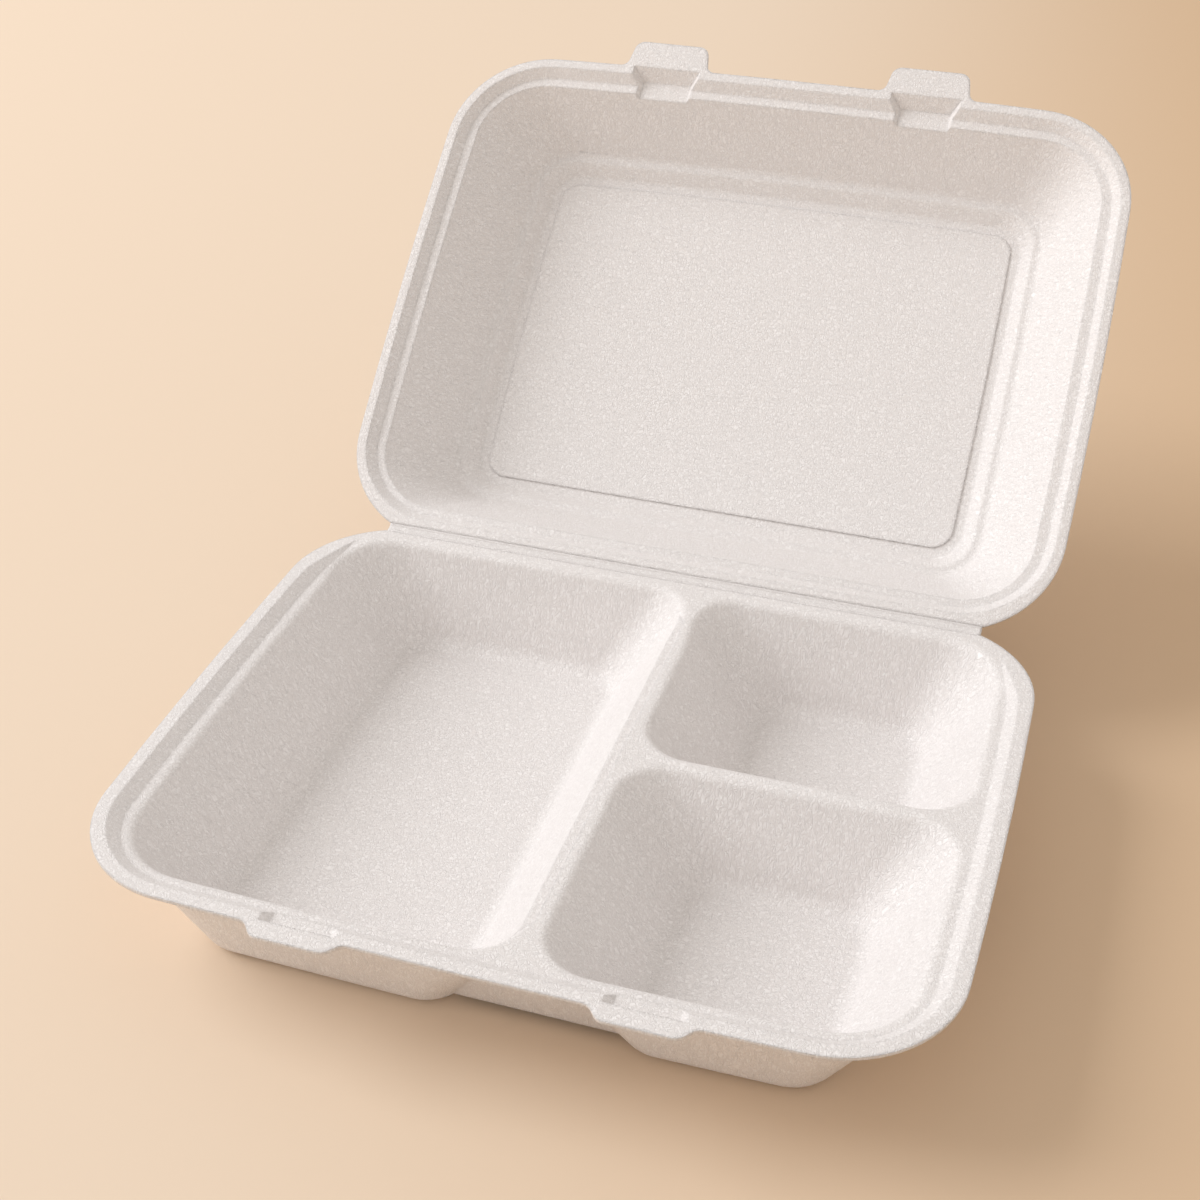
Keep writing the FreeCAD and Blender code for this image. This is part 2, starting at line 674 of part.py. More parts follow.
def lid_wall_loft(body, name, wall, start, cut):
    """The lid's sloping wall, up to the ledge round its panel."""
    profiles = []
    for end, depth, front_corner, rear_corner in (
        ("Foot", start, f"Sizes.corner_radius - {LID_RIM} + {wall}",
         f"Sizes.corner_radius - Sizes.rear_corner_overrun - {LID_REAR} + {wall}"),
        ("Top", f"Sizes.lid_ledge_depth + {wall}", f"Sizes.lid_ledge_corner + {wall}",
         f"Sizes.lid_ledge_corner + {wall}"),
    ):
        rise = f"{depth} - Sizes.lid_step"
        side = sloped(LID_RIM, LID_SIDE_SLOPE, rise, wall)
        end_inset = sloped(LID_RIM, LID_END_SLOPE, rise, wall)
        rear = sloped(LID_REAR, LID_END_SLOPE, rise, wall)
        profiles.append(lid_outline(body, name + end, depth, side, end_inset, rear, front_corner, rear_corner))
    return loft(body, name, profiles, cut)


WALL_RISE = "(Sizes.lid_ledge_depth - Sizes.lid_step)"
LEDGE_SIDE = f"({LID_RIM} + {LID_SIDE_SLOPE} * {WALL_RISE} + Sizes.lid_ledge)"
LEDGE_END = f"({LID_RIM} + {LID_END_SLOPE} * {WALL_RISE} + Sizes.lid_ledge)"
LEDGE_REAR = f"({LID_REAR} + {LID_END_SLOPE} * {WALL_RISE} + Sizes.lid_ledge)"


def lid_ring_loft(body, name, wall, cut):
    """The second, small step between the ledge and the panel."""
    profiles = []
    for end, depth, corner in (
        ("Foot", "Sizes.lid_ledge_depth", f"Sizes.lid_ledge_corner - Sizes.lid_ledge + {wall}"),
        ("Top", f"{PANEL_DEPTH} + {wall}", f"(Sizes.lid_panel_corner + Sizes.lid_moat) + {wall}"),
    ):
        rise = f"{depth} - Sizes.lid_ledge_depth"
        insets = [sloped(start, RING_SLOPE, rise, wall) for start in (LEDGE_SIDE, LEDGE_END, LEDGE_REAR)]
        profiles.append(lid_outline(body, name + end, depth, *insets, corner, corner))
    return loft(body, name, profiles, cut)


def panel_outline(body, name, depth):
    inward = "Sizes.lid_ring_run + Sizes.lid_moat"
    insets = [f"{start} + {inward}" for start in (LEDGE_SIDE, LEDGE_END, LEDGE_REAR)]
    return lid_outline(body, name, depth, *insets, "Sizes.lid_panel_corner", "Sizes.lid_panel_corner")


def pocket_loft(body, name, x, wall, start, cut):
    """The pocket behind a latch tab, with its four sides flared towards its mouth."""
    flare = "(Sizes.pocket_flare / Sizes.pocket_depth)"
    outward = f"{wall} * sqrt(1 + {flare} ^ 2)"
    profiles = []
    for end, depth in (("Mouth", start), ("Floor", f"Sizes.pocket_depth + {wall}")):
        length = f"Sizes.pocket_length - 2 * {flare} * ({depth}) + 2 * {outward}"
        front = f"Sizes.tray_depth - {flare} * ({depth}) + {outward} - Sizes.slot_margin / 4"
        width = f"Sizes.pocket_width - {flare} * ({depth}) + {outward}"
        profiles.append(rectangle(body, name + end, above(depth), x, length, front, width))
    loft(body, name, profiles, cut)


def place_at_hinge(body):
    """Put the hinge line where the middle of the open container's footprint is at Y = 0."""
    rise = "(180 - Sizes.open_angle) * 1 deg"
    thick = "(Sizes.edge_thickness + Sizes.closed_gap / 2)"
    front = "(Sizes.tray_depth + Sizes.lug_reach)"
    rear = f"(cos({rise}) * (Sizes.tray_depth + Sizes.tab_reach) + sin({rise}) * {thick})"
    body.setExpression("Placement.Base.y", f"({front} - {rear}) / 2")
    body.setExpression("Placement.Base.z", "Sizes.base_height + Sizes.closed_gap / 2")


def build_lid():
    body = new_body("lid")
    body.Placement = FreeCAD.Placement(FreeCAD.Vector(0, 0, 0), FreeCAD.Rotation(FreeCAD.Vector(-1, 0, 0), 1))
    place_at_hinge(body)
    body.setExpression("Placement.Rotation.Angle", "Sizes.open_angle * 1 deg")

    flange = body.newObject("PartDesign::Pad", "LidFlange")
    sides = {key: ("rim", "0") for key in ("front", "left", "right")}
    sides["rear"] = ("line", "Sizes.rear_corner_overrun")
    flange.Profile = outline(body, "LidRimOutline", LID_FACE, sides, same_corners("Sizes.corner_radius"))
    flange.setExpression("Length", "Sizes.edge_thickness")
    for number, sign in enumerate((-1, 1)):
        tab = body.newObject("PartDesign::Pad", f"Tab{number}")
        tab.Profile = latch_outline(body, f"TabOutline{number}", LID_FACE, f"{sign} * Sizes.latch_offset", "tab")
        tab.setExpression("Length", "Sizes.edge_thickness")
    fillet(body, "TabRootRounds", tab, "Sizes.root_radius", latch_roots)
    edge_profiles = []
    for end, depth, inset in (("Edge", "Sizes.edge_thickness / 2", "0"), ("Step", "Sizes.lid_wall", "Sizes.edge_run")):
        sides = {key: ("rim", inset) for key in ("front", "left", "right")}
        sides["rear"] = ("line", f"Sizes.rear_corner_overrun - {inset}")
        edge_profiles.append(outline(body, f"LidFlangeBack{end}", above(depth), sides,
                                     same_corners(f"Sizes.corner_radius - {inset}")))
    loft(body, "LidFlangeBack", edge_profiles)

    wall = "Sizes.lid_wall"
    lid_step_loft(body, "LidStepOuter", wall, cut=False)
    lid_wall_loft(body, "LidWallOuter", wall, "Sizes.lid_wall / 2", cut=False)
    ring_outer = lid_ring_loft(body, "LidRingOuter", wall, cut=False)
    fillet(body, "LidTopRounds", ring_outer, "Sizes.lid_ledge_fillet",
           lambda shape: edges_on(shape, [ring_outer.Sections[-1][0]]))
    for number, sign in enumerate((-1, 1)):
        pocket_loft(body, f"PocketOuter{number}", f"{sign} * Sizes.latch_offset", wall, "Sizes.lid_wall / 2",
                    cut=False)

    lid_step_loft(body, "LidStep", "0", cut=True)
    wall_cut = lid_wall_loft(body, "LidWall", "0", "0", cut=True)
    ring_cut = lid_ring_loft(body, "LidRing", "0", cut=True)
    rounds = fillet(body, "LidLedgeRounds", ring_cut, "Sizes.lid_ledge_fillet",
                    lambda shape: edges_on(shape, [wall_cut.Sections[-1][0]]))
    fillet(body, "LidEdgeRounds", rounds, "Sizes.lid_edge_fillet",
           lambda shape: edges_on(shape, [ring_cut.Profile[0], ring_cut.Sections[-1][0]]))
    for number, sign in enumerate((-1, 1)):
        pocket_loft(body, f"Pocket{number}", f"{sign} * Sizes.latch_offset", "0", "0", cut=True)

    panel = body.newObject("PartDesign::Pad", "Panel")
    panel.Profile = panel_outline(body, "PanelOutline", PANEL_DEPTH)
    panel.setExpression("Length", "Sizes.lid_panel_rise")
    panel.Reversed = True
    recess = body.newObject("PartDesign::Pocket", "PanelRecess")
    recess.Profile = panel_outline(body, "PanelRecessOutline", f"{PANEL_DEPTH} + Sizes.lid_wall")
    recess.setExpression("Length", "Sizes.lid_panel_rise")
    hinge_trim(body, "LidHingeTrim", f"{LID_FACE} + 2 * Sizes.lid_wall + Sizes.lid_step",
               "2 * Sizes.lid_wall + Sizes.lid_step")
    doc.recompute()
    return body


def hinge_trim(body, name, level, length):
    """Cut the rim off square beside the hinge strip."""
    trim = body.newObject("PartDesign::Pocket", name)
    trim.Profile = polygon(body, f"{name}Outline", "XY_Plane", level, [
        ("-Sizes.tray_width / 2", "-Sizes.hinge_half_span"),
        ("Sizes.tray_width / 2", "-Sizes.hinge_half_span"),
        ("Sizes.tray_width / 2", "Sizes.corner_radius"),
        ("-Sizes.tray_width / 2", "Sizes.corner_radius"),
    ])
    trim.setExpression("Length", length)


def build_hinge():
    """The pressed strip, bent from the tray's rear edge to the lid's about the centre of its bend."""
    body = new_body("living_hinge")
    place_at_hinge(body)
    centre = "Sizes.hinge_half_span / tan((180 - Sizes.open_angle) / 2 * 1 deg)"
    near = f"({centre} + Sizes.closed_gap / 2 + Sizes.hinge_recess)"
    sketch = polygon(body, "HingeSection", "XZ_Plane", "Sizes.hinge_half_span", [
        ("-Sizes.hinge_length / 2", f"-{near}"),
        ("Sizes.hinge_length / 2", f"-{near}"),
        ("Sizes.hinge_length / 2", f"-({near} + Sizes.hinge_thickness)"),
        ("-Sizes.hinge_length / 2", f"-({near} + Sizes.hinge_thickness)"),
    ])
    sketch.setExpression("AttachmentOffset.Base.y", centre)
    bend = body.newObject("PartDesign::Revolution", "HingeBend")
    bend.Profile = sketch
    bend.ReferenceAxis = (sketch, ["H_Axis"])
    bend.setExpression("Angle", "180 - Sizes.open_angle")
    doc.recompute()
    return body


pieces = [build_tray(), build_lid(), build_hinge()]
doc.recompute()
for item in doc.Objects:
    failed = [state for state in item.State if state in ("Invalid", "Error")]
    if failed:
        raise RuntimeError(f"{item.Name} is {failed}")
for piece in pieces:
    if piece.Shape.isNull() or not piece.Shape.isValid():
        raise RuntimeError(f"{piece.Label} has no valid shape")
for piece in pieces:
    piece.Shape.exportStep(f"parts/{piece.Label}.step")
    print(piece.Label, len(piece.Shape.Solids), round(piece.Shape.Volume), piece.Shape.BoundBox)
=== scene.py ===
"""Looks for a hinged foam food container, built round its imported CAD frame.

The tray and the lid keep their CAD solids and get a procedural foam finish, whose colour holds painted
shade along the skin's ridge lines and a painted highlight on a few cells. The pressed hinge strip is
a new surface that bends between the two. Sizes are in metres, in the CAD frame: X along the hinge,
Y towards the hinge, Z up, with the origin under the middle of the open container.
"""

import logging
import math
from dataclasses import dataclass, field
from enum import Enum

import bpy
import numpy as np
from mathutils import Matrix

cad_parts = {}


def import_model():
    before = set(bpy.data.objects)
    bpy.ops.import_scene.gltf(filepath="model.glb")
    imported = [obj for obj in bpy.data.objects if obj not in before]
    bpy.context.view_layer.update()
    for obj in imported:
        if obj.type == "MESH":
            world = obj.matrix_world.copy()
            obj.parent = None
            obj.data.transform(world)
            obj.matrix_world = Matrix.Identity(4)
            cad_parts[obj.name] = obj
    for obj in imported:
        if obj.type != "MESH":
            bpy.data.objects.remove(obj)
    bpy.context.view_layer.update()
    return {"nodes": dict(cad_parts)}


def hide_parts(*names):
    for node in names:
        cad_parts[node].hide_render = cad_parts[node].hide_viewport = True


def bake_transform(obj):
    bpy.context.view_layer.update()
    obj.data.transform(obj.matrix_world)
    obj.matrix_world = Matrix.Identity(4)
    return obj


LOG = logging.getLogger("foam_container")
MILLIMETRE = 0.001
OPEN_ANGLE = 141.0

Colour = tuple[float, float, float]
Weighted = tuple[bpy.types.NodeSocket, float]


class Piece(Enum):
    """Names of the container's CAD nodes."""

    TRAY = "base_tray"
    LID = "lid"
    HINGE = "living_hinge"


class Body(Enum):
    """Names of the two rigid bodies."""

    BASE = "base"
    LID = "lid"


@dataclass
class NodeGraph:
    """A node tree with short calls to add and join nodes."""

    tree: bpy.types.NodeTree

    def add(self, kind: str, **settings: object) -> bpy.types.Node:
        """Add a node of a kind and set its properties.

        Args:
            kind: The node's Blender type name.
            **settings: Property values, by name.

        Returns:
            The new node.
        """
        node = self.tree.nodes.new(kind)
        for name, value in settings.items():
            setattr(node, name, value)
        return node

    def link(self, source: bpy.types.NodeSocket, target: bpy.types.NodeSocket) -> None:
        """Join an output to an input.

        Args:
            source: The output.
            target: The input.
        """
        self.tree.links.new(source, target)

    def math(self, operation: str, first: object, second: object = 0.0) -> bpy.types.NodeSocket:
        """Add a math node on two sockets or numbers.

        Args:
            operation: The math node's operation.
            first: A socket or a number.
            second: A socket or a number.

        Returns:
            The node's output.
        """
        node = self.add("ShaderNodeMath", operation=operation)
        for socket, value in zip(node.inputs, (first, second)):
            if isinstance(value, bpy.types.NodeSocket):
                self.link(value, socket)
            else:
                socket.default_value = value
        return node.outputs[0]

    def mix(self, share: bpy.types.NodeSocket, low: object, high: Colour) -> bpy.types.NodeSocket:
        """Mix two colours.

        Args:
            share: How much of the second colour there is.
            low: The first colour, or a socket that gives it.
            high: The second colour.

        Returns:
            The mixed colour.
        """
        node = self.add("ShaderNodeMix", data_type="RGBA")
        self.link(share, node.inputs["Factor"])
        if isinstance(low, bpy.types.NodeSocket):
            self.link(low, node.inputs["A"])
        else:
            node.inputs["A"].default_value = (*low, 1.0)
        node.inputs["B"].default_value = (*high, 1.0)
        return node.outputs["Result"]


@dataclass
class FoamSkin:
    """Shader group for the skin of pressed polystyrene foam: flat cells with wandering ridges between them.

    The pattern is drawn on the sheet as it lay flat before it was pressed, so it stretches down the walls
    and runs across the lips as streaks. Its height adds three scales: broad waves left by the forming,
    wandering ridges, and the fine cells inside them. Its shade output is painted shade, a small darkening of
    the colour along the ridge lines. Its gloss is a spread of roughness, and its last output masks the
    few cells that get a painted highlight, as if they caught the light.

    Attributes:
        name: Name of the group.
        draw: Share of the pattern's rate that is left along Z, where the sheet was drawn out.
        ridge_sharpness: How steeply a ridge rises from the noise's middle value.
        ridge_height: Share of the ridges in the height.
        cell_height: Share of the cells in the height.
        wave_height: Share of the waves in the height.
        valley_depth: How far the painted shade darkens the colour on a ridge line.
        cell_gloss: Share of the cells in the gloss.
        wave_gloss: Share of the waves in the gloss.
        glint_level: Cell value from which a cell starts to get the painted highlight.
        glint_sharpness: How steeply the painted highlight rises from there.
        group: The built node group.
    """

    name: str = "foam_skin"
    draw: float = 0.30
    ridge_sharpness: float = 7.0
    ridge_height: float = 0.55
    cell_height: float = 0.45
    wave_height: float = 0.6
    valley_depth: float = 0.8
    cell_gloss: float = 0.6
    wave_gloss: float = 0.4
    glint_level: float = 0.62
    glint_sharpness: float = 9.0
    group: bpy.types.NodeTree = field(init=False)

    def __post_init__(self) -> None:
        """Build the group once."""
        self.group = bpy.data.node_groups.new(self.name, "ShaderNodeTree")
        sockets = self.group.interface
        sizes = (("Ridge Size", 1.0), ("Cell Size", 0.35), ("Wave Size", 14.0), ("Sheet Turn", 0.0))
        for label, value in sizes:
            socket = sockets.new_socket(name=label, in_out="INPUT", socket_type="NodeSocketFloat")
            socket.default_value = value
        for label in ("Height", "Shade", "Gloss", "Glint"):
            sockets.new_socket(name=label, in_out="OUTPUT", socket_type="NodeSocketFloat")
        self.build(NodeGraph(self.group))

    def build(self, graph: NodeGraph) -> None:
        """Lay out the group's nodes.

        Args:
            graph: The group's node tree.
        """
        given = graph.add("NodeGroupInput").outputs
        result = graph.add("NodeGroupOutput").inputs
        spot = self.sheet_place(graph, given["Sheet Turn"])

        ridge = self.noise(graph, spot, given["Ridge Size"], detail=2.0, distortion=1.1)
        cells = self.noise(graph, spot, given["Cell Size"], detail=1.0, distortion=0.2)
        waves = self.noise(graph, spot, given["Wave Size"], detail=2.0, distortion=0.2)
        fold = graph.math("ABSOLUTE", graph.math("SUBTRACT", ridge, 0.5))
        steep = graph.math("MULTIPLY", fold, self.ridge_sharpness)
        worm = graph.math("SUBTRACT", 1.0, graph.math("MINIMUM", steep, 1.0))

        fine = self.sum_of(graph, (worm, self.ridge_height), (cells, self.cell_height))
        height = graph.math("ADD", fine, graph.math("MULTIPLY", waves, self.wave_height))
        graph.link(height, result["Height"])
        # Painted shade: the colour darkens along the ridge lines.
        shade = graph.math("SUBTRACT", 1.0, graph.math("MULTIPLY", worm, self.valley_depth))
        graph.link(shade, result["Shade"])
        gloss = self.sum_of(graph, (cells, self.cell_gloss), (waves, self.wave_gloss))
        graph.link(gloss, result["Gloss"])
        # Painted highlight: a mask of the cells whose value lies above the level, which get a lighter colour
        # as if they caught the light.
        painted_glint_mask = graph.math("MULTIPLY", graph.math("SUBTRACT", cells, self.glint_level), self.glint_sharpness)
        graph.link(graph.math("MINIMUM", graph.math("MAXIMUM", painted_glint_mask, 0.0), 1.0), result["Glint"])

    def sum_of(self, graph: NodeGraph, first: Weighted, second: Weighted) -> bpy.types.NodeSocket:
        """Add two values, each times its weight.

        Args:
            graph: The tree it goes in.
            first: A socket and its weight.
            second: A socket and its weight.

        Returns:
            The sum.
        """
        return graph.math("ADD", graph.math("MULTIPLY", *first), graph.math("MULTIPLY", *second))

    def sheet_place(self, graph: NodeGraph, turn: bpy.types.NodeSocket) -> bpy.types.NodeSocket:
        """Place on the flat sheet, in millimetres: turned about X to lie level, then drawn out along Z.

        Args:
            graph: The tree it goes in.
            turn: Turn about X that lays the pressed shape's rim level, in radians.

        Returns:
            The place.
        """
        place = graph.add("ShaderNodeTexCoord").outputs["Object"]
        level = graph.add("ShaderNodeVectorRotate", rotation_type="X_AXIS")
        graph.link(place, level.inputs["Vector"])
        graph.link(turn, level.inputs["Angle"])
        scaled = graph.add("ShaderNodeVectorMath", operation="MULTIPLY")
        graph.link(level.outputs["Vector"], scaled.inputs[0])
        scaled.inputs[1].default_value = (1.0 / MILLIMETRE, 1.0 / MILLIMETRE, self.draw / MILLIMETRE)
        return scaled.outputs[0]

    def noise(self, graph: NodeGraph, spot: bpy.types.NodeSocket, size: bpy.types.NodeSocket, detail: float,
              distortion: float) -> bpy.types.NodeSocket:
        """Add noise whose features have a size in millimetres.

        Args:
            graph: The tree it goes in.
            spot: Place in millimetres.
            size: Feature size in millimetres.
            detail: Octaves.
            distortion: How far the noise is pushed about.

        Returns:
            The noise factor, from 0 to 1.
        """
        node = graph.add("ShaderNodeTexNoise")
        node.inputs["Detail"].default_value = detail
        node.inputs["Distortion"].default_value = distortion
        graph.link(spot, node.inputs["Vector"])
        graph.link(graph.math("DIVIDE", 1.0, size), node.inputs["Scale"])
        return node.outputs[0]


@dataclass(frozen=True)
class FoamFinish:
    """Satin white foam, with painted shade and a painted highlight in its colour.

    Attributes:
        name: Material name.
        pale: Colour of the foam away from the painted shade.
        painted_shade_colour: Colour of the painted shade along the ridge lines.
        painted_glint: Colour of the painted highlight on the cells that seem to catch the light.
        ridge_size: Spacing of the wandering ridges, in millimetres.
        cell_size: Size of the fine cells, in millimetres.
        relief: Height of the skin's relief, in millimetres.
        roughness: Lowest and highest roughness.
        softening: Radius that a pressed edge seems to have, in millimetres.
        turn: Turn about X that lays the piece's rim level, in degrees.
        refraction: Index of refraction.
        gloss_range: Pattern values that get the lowest and the highest roughness.
        edge_samples: Samples of the soft edges.
    """

    name: str
    pale: Colour = (0.890, 0.862, 0.856)
    painted_shade_colour: Colour = (0.790, 0.752, 0.738)
    painted_glint: Colour = (0.960, 0.950, 0.945)
    ridge_size: float = 1.15
    cell_size: float = 0.50
    relief: float = 0.20
    roughness: tuple[float, float] = (0.30, 0.55)
    softening: float = 1.5
    turn: float = 0.0
    refraction: float = 1.50
    gloss_range: tuple[float, float] = (0.35, 0.65)
    edge_samples: int = 4

    def material(self, skin: FoamSkin) -> bpy.types.Material:
        """Make the material.

        Args:
            skin: The shared skin group.

        Returns:
            The new material.
        """
        material = bpy.data.materials.new(self.name)
        material.use_nodes = True
        graph = NodeGraph(material.node_tree)
        shader = material.node_tree.nodes["Principled BSDF"]
        shader.inputs["IOR"].default_value = self.refraction

        pattern = graph.add("ShaderNodeGroup", node_tree=skin.group)
        pattern.inputs["Ridge Size"].default_value = self.ridge_size
        pattern.inputs["Cell Size"].default_value = self.cell_size
        pattern.inputs["Sheet Turn"].default_value = math.radians(self.turn)

        # Painted shade: the colour darkens along the skin's ridge lines.
        skin_with_painted_shade = graph.mix(pattern.outputs["Shade"], self.painted_shade_colour, self.pale)
        # Painted highlight: the few cells in the mask get a lighter colour.
        colour = graph.mix(pattern.outputs["Glint"], skin_with_painted_shade, self.painted_glint)
        graph.link(colour, shader.inputs["Base Color"])

        gloss = graph.add("ShaderNodeMapRange")
        graph.link(pattern.outputs["Gloss"], gloss.inputs["Value"])
        levels = (*self.gloss_range, *self.roughness)
        for label, value in zip(("From Min", "From Max", "To Min", "To Max"), levels):
            gloss.inputs[label].default_value = value
        graph.link(gloss.outputs["Result"], shader.inputs["Roughness"])

        rounded = graph.add("ShaderNodeBevel", samples=self.edge_samples)
        rounded.inputs["Radius"].default_value = self.softening * MILLIMETRE
        bump = graph.add("ShaderNodeBump")
        bump.inputs["Distance"].default_value = self.relief * MILLIMETRE
        graph.link(rounded.outputs["Normal"], bump.inputs["Normal"])
        graph.link(pattern.outputs["Height"], bump.inputs["Height"])
        graph.link(bump.outputs["Normal"], shader.inputs["Normal"])
        return material


@dataclass
class HingeStrip:
    """The pressed strip that joins the tray to the lid.

    It is bent on an arc about an axis along X, above the tray's rear edge. The arc leaves the tray level
    and meets the lid at the lid's own slope. Lengths are in metres and the angle in degrees.

    Attributes:
        hinge_y: Place of the hinge line along Y.
        hinge_z: Height of the hinge line.
        half_span: From the hinge line to either rim's trimmed edge.
        length: Length along the hinge.
        rim_gap: From the hinge line's height to the rim's face.
        recess: How far the strip's face lies below the rims' faces.
        thickness: Thickness of the pressed foam.
        ridge_height: Height of the two crease ridges.
        open_angle: Turn that closes the lid from the photo's pose.
        ridge_places: Shares of the way across at which the ridges lie.
        ridge_width: Width of a ridge, as a share of the way across.
        stations: Points along the hinge.
        steps: Points across each face.
    """

    hinge_y: float = 18.449 * MILLIMETRE
    hinge_z: float = 35.65 * MILLIMETRE
    half_span: float = 1.8 * MILLIMETRE
    length: float = 198.0 * MILLIMETRE
    rim_gap: float = 0.15 * MILLIMETRE
    recess: float = 0.15 * MILLIMETRE
    thickness: float = 0.9 * MILLIMETRE
    ridge_height: float = 0.25 * MILLIMETRE
    open_angle: float = OPEN_ANGLE
    ridge_places: tuple[float, float] = (0.17, 0.83)
    ridge_width: float = 0.07
    stations: int = 240
    steps: int = 40

    def bend(self) -> float:
        """Work out how far the strip is bent at rest.

        Returns:
            The lid's turn from flat, in radians.
        """
        return math.radians(180.0 - self.open_angle)

    def surface(self) -> tuple[np.ndarray, np.ndarray]:
        """Points and faces of the strip.

        A point at station x and share t across the strip lies at angle t times the bend round the axis.
        The upper face's radius is the arc's radius less two narrow bell-shaped ridges, one beside each
        rim. The lower face has the arc's radius plus the thickness. The ring of both is carried along X.

        Returns:
            The vertices as an (n, 3) array and the quads as an (m, 4) array.
        """
        axis_y = self.hinge_y - self.half_span
        rise = self.half_span / math.tan(self.bend() / 2)
        radius = rise + self.rim_gap + self.recess
        share = np.linspace(0.0, 1.0, self.steps)
        ridges = sum(np.exp(-(((share - place) / self.ridge_width) ** 2)) for place in self.ridge_places)
        upper = radius - self.ridge_height * ridges
        lower = np.full_like(share, radius + self.thickness)
        reach = np.concatenate([upper, lower[::-1]])
        angle = np.concatenate([share, share[::-1]]) * self.bend()
        ring_y = axis_y + reach * np.sin(angle)
        ring_z = self.hinge_z + rise - reach * np.cos(angle)

        along = np.linspace(-self.length / 2, self.length / 2, self.stations)
        count = ring_y.size
        points = np.empty((self.stations, count, 3))
        points[:, :, 0] = along[:, None]
        points[:, :, 1] = ring_y
        points[:, :, 2] = ring_z

        row = np.arange(self.stations - 1)[:, None] * count
        here = np.arange(count)[None, :]
        after = (here + 1) % count
        sides = np.stack([row + here, row + after, row + count + after, row + count + here], axis=-1)
        pair = np.arange(self.steps - 1)
        mirror = count - 1 - pair
        start = np.stack([pair, mirror, mirror - 1, pair + 1], axis=-1)
        end = start[:, ::-1] + (self.stations - 1) * count
        return points.reshape(-1, 3), np.concatenate([sides.reshape(-1, 4), start, end])

    def build(self, material: bpy.types.Material) -> bpy.types.Object:
        """Make the strip, bent between the tray and the lid, and hide the CAD hinge.

        Args:
            material: Its finish.

        Returns:
            The new object.
        """
        points, quads = self.surface()
        mesh = bpy.data.meshes.new("hinge_strip")
        mesh.from_pydata(points.tolist(), [], quads.tolist())
        mesh.validate()
        mesh.shade_smooth()
        mesh.materials.append(material)
        strip = bpy.data.objects.new("hinge_strip", mesh)
        bpy.context.scene.collection.objects.link(strip)
        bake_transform(strip)
        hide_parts(Piece.HINGE.value)
        return strip


@dataclass
class FoamShells:
    """The tray and the lid, which keep their CAD solids."""

    nodes: dict[str, bpy.types.Object]

    def dress(self, finishes: dict[Piece, bpy.types.Material]) -> None:
        """Give each shell its finish.

        Args:
            finishes: The material of each CAD node.
        """
        for piece, material in finishes.items():
            mesh = self.nodes[piece.value].data
            mesh.materials.clear()
            mesh.materials.append(material)
            LOG.info("dressed %s, %d triangles", piece.value, len(mesh.polygons))


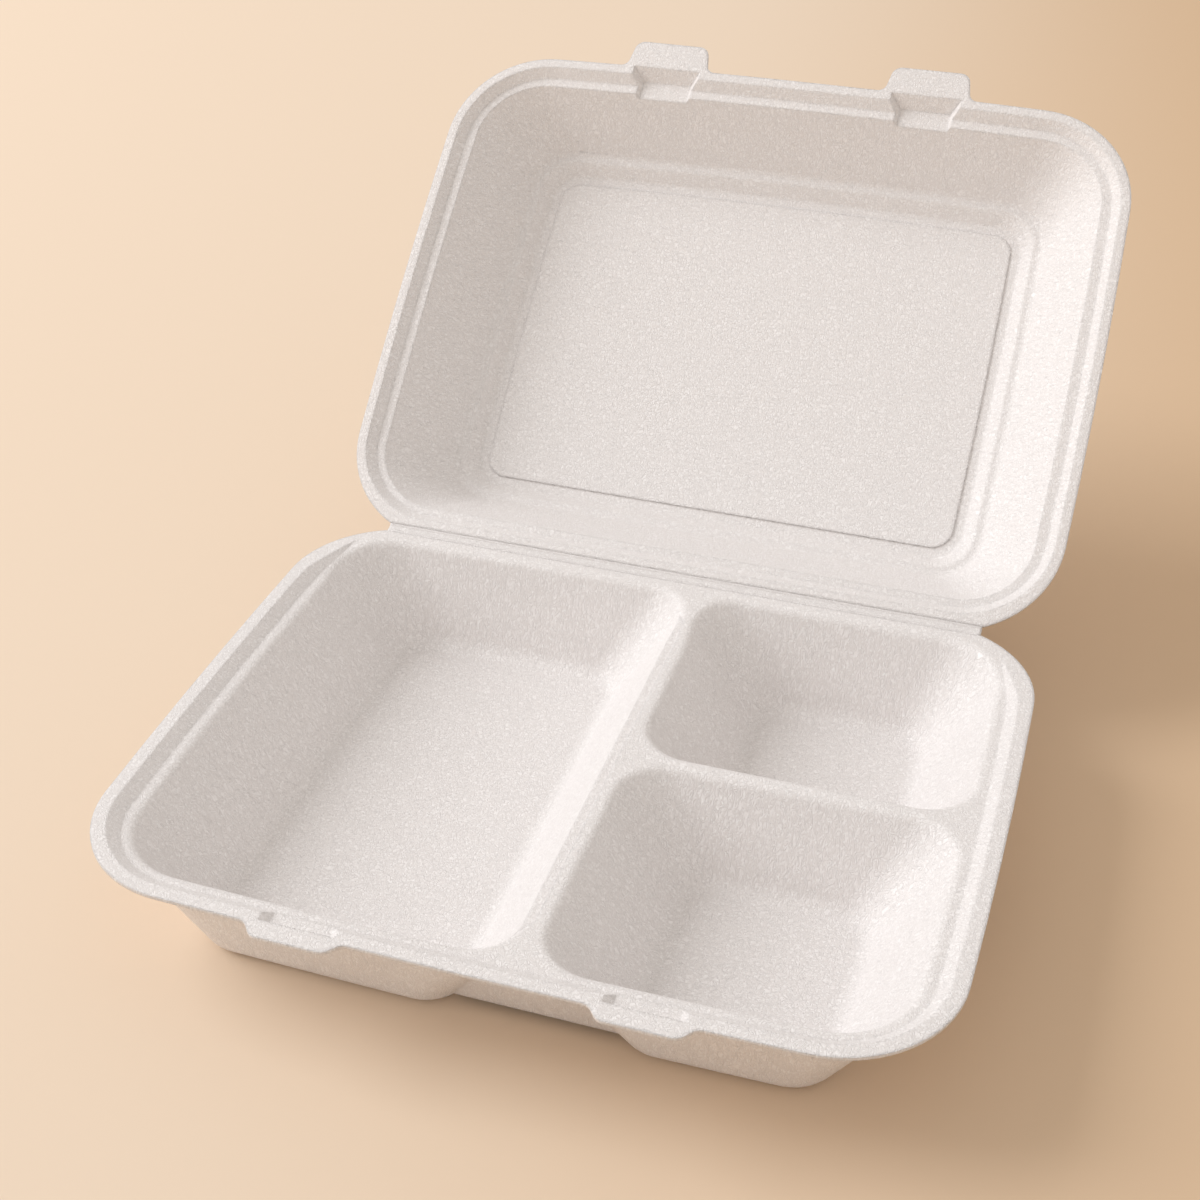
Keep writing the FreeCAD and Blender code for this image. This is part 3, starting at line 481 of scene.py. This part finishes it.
@dataclass
class Studio:
    """Matt floor whose colour holds painted shade towards the right, one soft lamp and even surroundings.

    Attributes:
        floor_size: Side of the square floor, in metres.
        floor_left: Colour of the card on the left, the light end of its painted shade.
        floor_right_painted_shade: Colour of the card on the right, darkened with painted shade.
        fade_heading: Heading along which the painted shade grows, in degrees from X.
        fade_from: Where the fade starts along it, in metres.
        fade_to: Where the fade ends along it, in metres.
        card_roughness: Roughness of the card.
        card_sheen: Specular level of the card.
        sky: Colour of the surroundings.
        sky_strength: Strength of the surroundings.
        lamp_place: Where the lamp hangs.
        lamp_size: Side of the square lamp, in metres.
        lamp_power: Power of the lamp, in watts.
        lamp_colour: Colour of the lamp.
    """

    floor_size: float = 9.0
    # Painted shade: the card is painted darker towards the right, for the lamp's falloff and the shadow on
    # that side.
    floor_left: Colour = (0.820, 0.672, 0.528)
    floor_right_painted_shade: Colour = (0.680, 0.478, 0.300)
    fade_heading: float = 6.0
    fade_from: float = -0.12
    fade_to: float = 0.30
    card_roughness: float = 0.9
    card_sheen: float = 0.2
    sky: Colour = (1.0, 0.940, 0.880)
    sky_strength: float = 0.70
    lamp_place: tuple[float, float, float] = (-2.6, -0.2, 1.9)
    lamp_size: float = 1.9
    lamp_power: float = 68.0
    lamp_colour: Colour = (0.960, 0.975, 1.0)

    def build_floor(self) -> None:
        """Make the floor, a square whose colour fades from left to right as painted shade."""
        half = self.floor_size / 2
        mesh = bpy.data.meshes.new("floor")
        corners = [(-half, -half, 0.0), (half, -half, 0.0), (half, half, 0.0), (-half, half, 0.0)]
        mesh.from_pydata(corners, [], [(0, 1, 2, 3)])
        floor = bpy.data.objects.new("floor", mesh)
        bpy.context.scene.collection.objects.link(floor)
        mesh.materials.append(self.floor_material())

    def floor_material(self) -> bpy.types.Material:
        """Make the matt card, whose colour depends on the place across the floor: painted shade darkens it
        towards the right.

        Returns:
            The new material.
        """
        material = bpy.data.materials.new("floor_card")
        material.use_nodes = True
        graph = NodeGraph(material.node_tree)
        shader = material.node_tree.nodes["Principled BSDF"]
        shader.inputs["Roughness"].default_value = self.card_roughness
        shader.inputs["Specular IOR Level"].default_value = self.card_sheen
        place = graph.add("ShaderNodeSeparateXYZ")
        graph.link(graph.add("ShaderNodeTexCoord").outputs["Object"], place.inputs[0])
        heading = math.radians(self.fade_heading)
        across = graph.math("ADD", graph.math("MULTIPLY", place.outputs["X"], math.cos(heading)),
                            graph.math("MULTIPLY", place.outputs["Y"], math.sin(heading)))
        fade = graph.add("ShaderNodeMapRange", interpolation_type="SMOOTHSTEP")
        graph.link(across, fade.inputs["Value"])
        fade.inputs["From Min"].default_value = self.fade_from
        fade.inputs["From Max"].default_value = self.fade_to
        # Painted shade: the card fades to its darker colour towards the right.
        colour = graph.mix(fade.outputs["Result"], self.floor_left, self.floor_right_painted_shade)
        graph.link(colour, shader.inputs["Base Color"])
        return material

    def build_lamp(self) -> None:
        """Add the square soft lamp, aimed at the container."""
        light = bpy.data.lights.new("key_lamp", "AREA")
        light.size = self.lamp_size
        light.energy = self.lamp_power
        light.color = self.lamp_colour
        lamp = bpy.data.objects.new("key_lamp", light)
        lamp.location = self.lamp_place
        x, y, z = self.lamp_place
        lamp.rotation_euler = (math.atan2(math.hypot(x, y), z), 0.0, math.atan2(y, x) + math.pi / 2)
        bpy.context.scene.collection.objects.link(lamp)

    def build(self) -> None:
        """Set up the floor, the lamp and the surroundings."""
        self.build_floor()
        self.build_lamp()
        world = bpy.data.worlds.new("surroundings")
        world.use_nodes = True
        background = world.node_tree.nodes["Background"]
        background.inputs["Color"].default_value = (*self.sky, 1.0)
        background.inputs["Strength"].default_value = self.sky_strength
        bpy.context.scene.world = world
        bpy.context.scene.view_settings.view_transform = "Standard"


@dataclass
class Viewpoint:
    """The photograph's camera.

    The angles are a camera's own, in degrees.

    Attributes:
        place: Where the camera is, in metres.
        tilt: Tilt up from straight down.
        roll: Roll about Y.
        turn: Turn about Z.
        focal_length: Focal length, in millimetres.
        sensor_width: Width of the sensor, in millimetres.
        near: Nearest distance seen, in metres.
    """

    place: tuple[float, float, float] = (0.1361, -0.46815, 0.3733)
    tilt: float = 55.54
    roll: float = 0.23
    turn: float = 18.13
    focal_length: float = 56.62
    sensor_width: float = 36.0
    near: float = 0.01

    def build(self) -> None:
        """Make the camera and give it to the scene."""
        data = bpy.data.cameras.new("camera")
        data.sensor_width = self.sensor_width
        data.lens = self.focal_length
        data.clip_start = self.near
        camera = bpy.data.objects.new("camera", data)
        camera.location = self.place
        angles = (self.tilt, self.roll, self.turn)
        camera.rotation_euler = tuple(math.radians(angle) for angle in angles)
        bpy.context.scene.collection.objects.link(camera)
        bpy.context.scene.camera = camera


def main() -> None:
    """Build the scene in order."""
    logging.basicConfig(level=logging.INFO, format="%(name)s: %(message)s")
    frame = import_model()
    skin = FoamSkin()
    tray_finish = FoamFinish("foam_tray").material(skin)
    lid_finish = FoamFinish("foam_lid", turn=OPEN_ANGLE - 180.0).material(skin)
    pressed = FoamFinish("foam_hinge", ridge_size=0.8, cell_size=0.4, softening=0.3)
    hinge_finish = pressed.material(skin)
    FoamShells(frame["nodes"]).dress({Piece.TRAY: tray_finish, Piece.LID: lid_finish})
    strip = HingeStrip().build(hinge_finish)
    LOG.info("built %s, %d faces", strip.name, len(strip.data.polygons))
    Studio().build()
    Viewpoint().build()


if __name__ == "__main__":
    main()
